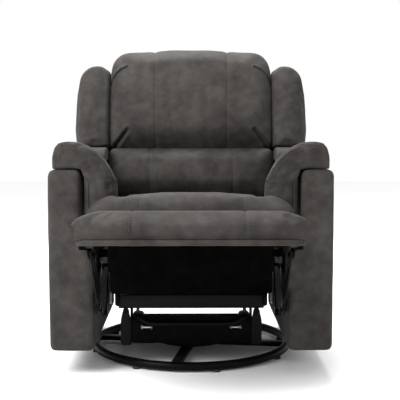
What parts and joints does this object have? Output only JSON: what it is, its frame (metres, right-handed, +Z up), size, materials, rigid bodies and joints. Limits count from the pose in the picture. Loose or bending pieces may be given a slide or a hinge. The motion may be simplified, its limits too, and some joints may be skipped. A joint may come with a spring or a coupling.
{
  "type": "swivel glider recliner",
  "caption": "Upholstered armchair that swivels and glides on a ring base, with a reclining winged back and a fold-out footrest on linked side mechanisms.",
  "frame": {"origin": "On the floor, under the middle of the box round the chair with its footrest open; the swivel axis is 162.0 mm behind it", "axes": "+Z up and the chair faces -Y; nodes named left are at -X, which is on the left when the chair is seen from the front"},
  "size_m": [0.8465, 1.2846, 1.0391],
  "materials": {
    "suede": "brushed suede-like weave, charcoal grey with a soft nap",
    "black_cloth": "plain black lining cloth",
    "black_steel": "gloss black powder coat",
    "zinc_steel": "bright zinc plate",
    "timber": "plain sawn hardwood and ply",
    "rubber": "matt black rubber",
    "black_plastic": "fine-grained black moulding"
  },
  "bodies": {
    "base": {"base_ring": "black_steel", "base_spokes": "black_steel", "base_foot_1": "rubber", "base_foot_2": "rubber", "base_foot_3": "rubber", "base_foot_4": "rubber", "base_foot_5": "rubber", "base_foot_6": "rubber", "base_foot_7": "rubber", "base_foot_8": "rubber", "lower_race": "zinc_steel", "bearing_ring": "zinc_steel", "kingpin": "black_steel"},
    "platform": {"swivel_plate": "black_steel", "platform_rail_right": "black_steel", "platform_rail_left": "black_steel", "platform_front": "black_steel", "platform_rear": "black_steel"},
    "front_hangers": {"front_hanger_right": "black_steel", "front_hanger_left": "black_steel"},
    "rear_hangers": {"rear_hanger_right": "black_steel", "rear_hanger_left": "black_steel"},
    "chair_frame": {"front_cross_tube": "black_steel", "rear_cross_tube": "black_steel", "lower_cross_rail": "black_steel", "glide_rail_right": "black_steel", "glide_rail_left": "black_steel", "side_plate_right": "black_steel", "side_plate_left": "black_steel", "seat_deck": "timber", "seat_front_board": "black_cloth", "seat_springs": "zinc_steel", "seat_cushion": "suede", "arm_panel_right": "suede", "arm_panel_left": "suede", "arm_pad_right": "suede", "arm_pad_left": "suede", "release_bezel": "black_plastic", "rear_skirt": "suede"},
    "release_lever": {"release_lever": "black_plastic"},
    "drive_links": {"drive_link_right": "black_steel", "drive_link_left": "black_steel"},
    "front_links": {"front_link_right": "black_steel", "front_link_left": "black_steel"},
    "toe_links": {"toe_link_right": "black_steel", "toe_link_left": "black_steel"},
    "control_links": {"control_link_right": "black_steel", "control_link_left": "black_steel"},
    "footrest": {"footrest_board": "timber", "footrest_bracket_right": "black_steel", "footrest_bracket_left": "black_steel", "footrest_pad": "suede"},
    "back": {"lumbar_cushion": "suede", "head_pillow": "suede", "back_shell": "timber", "back_rear_panel": "suede", "wing_right": "suede", "wing_left": "suede", "back_bracket_right": "black_steel", "back_bracket_left": "black_steel"}
  },
  "joints": [
    {"name": "base_swivel", "type": "hinge", "parent": "base", "child": "platform", "pos_m": [0, 0.16202, 0.055], "axis": [0, 0, 1], "continuous": true},
    {"name": "glide", "type": "hinge", "parent": "platform", "child": "front_hangers", "pos_m": [0, 0.01202, 0.315], "axis": [1, 0, 0], "range_deg": [-15, 15]},
    {"name": "frame_level", "type": "hinge", "parent": "front_hangers", "child": "chair_frame", "pos_m": [0, 0.01202, 0.205], "axis": [1, 0, 0], "range_deg": [-15, 15]},
    {"name": "rear_hanger_swing", "type": "hinge", "parent": "platform", "child": "rear_hangers", "pos_m": [0, 0.31202, 0.315], "axis": [1, 0, 0], "range_deg": [-15, 15]},
    {"name": "footrest_close", "type": "hinge", "parent": "chair_frame", "child": "drive_links", "pos_m": [0, -0.09078, 0.3152], "axis": [1, 0, 0], "range_deg": [0, 102.36]},
    {"name": "front_link_fold", "type": "hinge", "parent": "drive_links", "child": "front_links", "pos_m": [0, -0.19488, 0.20239], "axis": [1, 0, 0], "range_deg": [-92.49, 0]},
    {"name": "board_fold", "type": "hinge", "parent": "front_links", "child": "footrest", "pos_m": [0, -0.36649, 0.3892], "axis": [1, 0, 0], "range_deg": [0, 88.14]},
    {"name": "toe_link_fold", "type": "hinge", "parent": "drive_links", "child": "toe_links", "pos_m": [0, -0.25389, 0.22445], "axis": [1, 0, 0], "range_deg": [-92.4, 0]},
    {"name": "control_link_swing", "type": "hinge", "parent": "chair_frame", "child": "control_links", "pos_m": [0, -0.00578, 0.30585], "axis": [1, 0, 0], "range_deg": [0, 96.62]},
    {"name": "back_recline", "type": "hinge", "parent": "chair_frame", "child": "back", "pos_m": [0, 0.34202, 0.33], "axis": [-1, 0, 0], "range_deg": [0, 42]},
    {"name": "release_pull", "type": "hinge", "parent": "chair_frame", "child": "release_lever", "pos_m": [-0.4182, -0.11048, 0.4], "axis": [0, 0, 1], "range_deg": [0, 35], "stiffness_Nm_per_rad": 0.4}
  ],
  "couplings": [
    {"joint": "frame_level", "follows": "glide", "ratio": -1},
    {"joint": "rear_hanger_swing", "follows": "glide", "ratio": 1},
    {"joint": "front_link_fold", "follows": "footrest_close", "ratio": -0.90363},
    {"joint": "board_fold", "follows": "footrest_close", "ratio": 0.86108},
    {"joint": "toe_link_fold", "follows": "footrest_close", "ratio": -0.90275},
    {"joint": "control_link_swing", "follows": "footrest_close", "ratio": 0.94397}
  ]
}
